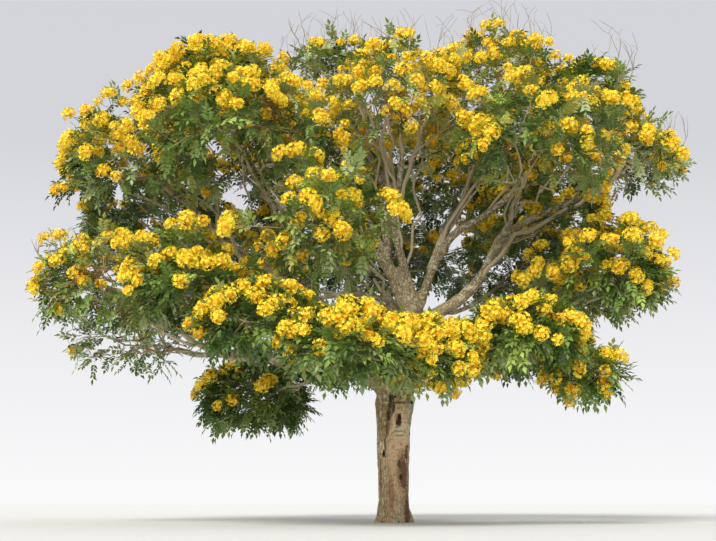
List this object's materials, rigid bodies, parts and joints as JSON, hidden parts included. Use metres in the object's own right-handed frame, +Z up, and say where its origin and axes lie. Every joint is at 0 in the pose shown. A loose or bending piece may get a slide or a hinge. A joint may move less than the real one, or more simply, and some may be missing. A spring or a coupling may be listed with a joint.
{
  "type": "flowering markhamia tree",
  "caption": "Broad spreading tree in full yellow flower: short furrowed trunk, fan of crooked boughs, round layered crown.",
  "frame": {"origin": "centre of the trunk's flat cut at ground level", "axes": "+Z up along the trunk, +X to the tree's right as the picture shows it, -Y towards the low front masses"},
  "size_m": [9.725, 8.9033, 8.2392],
  "materials": {
    "trunk_bark": "rough furrowed bark",
    "bough_bark": "rough bark with pale lichen",
    "foliage": "leaves and yellow blossom"
  },
  "bodies": {
    "root": {"trunk": "trunk_bark", "bough_back": "bough_bark", "bough_back_crest_left": "bough_bark", "bough_back_crest_right": "bough_bark", "bough_back_left": "bough_bark", "bough_back_low": "bough_bark", "bough_back_right": "bough_bark", "bough_crest": "bough_bark", "bough_crest_left": "bough_bark", "bough_crest_right": "bough_bark", "bough_front": "bough_bark", "bough_front_left": "bough_bark", "bough_front_right": "bough_bark", "bough_left_apron": "bough_bark", "bough_left_breast": "bough_bark", "bough_left_crest": "bough_bark", "bough_left_heart": "bough_bark", "bough_left_hem": "bough_bark", "bough_left_shade": "bough_bark", "bough_left_shoulder": "bough_bark", "bough_left_tip": "bough_bark", "bough_low_left": "bough_bark", "bough_right_apron": "bough_bark", "bough_right_back_skirt": "bough_bark", "bough_right_breast": "bough_bark", "bough_right_crest": "bough_bark", "bough_right_drop": "bough_bark", "bough_right_inner": "bough_bark", "bough_right_skirt": "bough_bark", "bough_right_tip": "bough_bark", "foliage_back": "foliage", "foliage_back_crest_left": "foliage", "foliage_back_crest_right": "foliage", "foliage_back_left": "foliage", "foliage_back_low": "foliage", "foliage_back_right": "foliage", "foliage_crest": "foliage", "foliage_crest_left": "foliage", "foliage_crest_right": "foliage", "foliage_front": "foliage", "foliage_front_left": "foliage", "foliage_front_right": "foliage", "foliage_left_apron": "foliage", "foliage_left_breast": "foliage", "foliage_left_crest": "foliage", "foliage_left_heart": "foliage", "foliage_left_hem": "foliage", "foliage_left_shade": "foliage", "foliage_left_shoulder": "foliage", "foliage_left_tip": "foliage", "foliage_low_left": "foliage", "foliage_right_apron": "foliage", "foliage_right_back_skirt": "foliage", "foliage_right_breast": "foliage", "foliage_right_crest": "foliage", "foliage_right_drop": "foliage", "foliage_right_inner": "foliage", "foliage_right_skirt": "foliage", "foliage_right_tip": "foliage"}
  },
  "joints": []
}
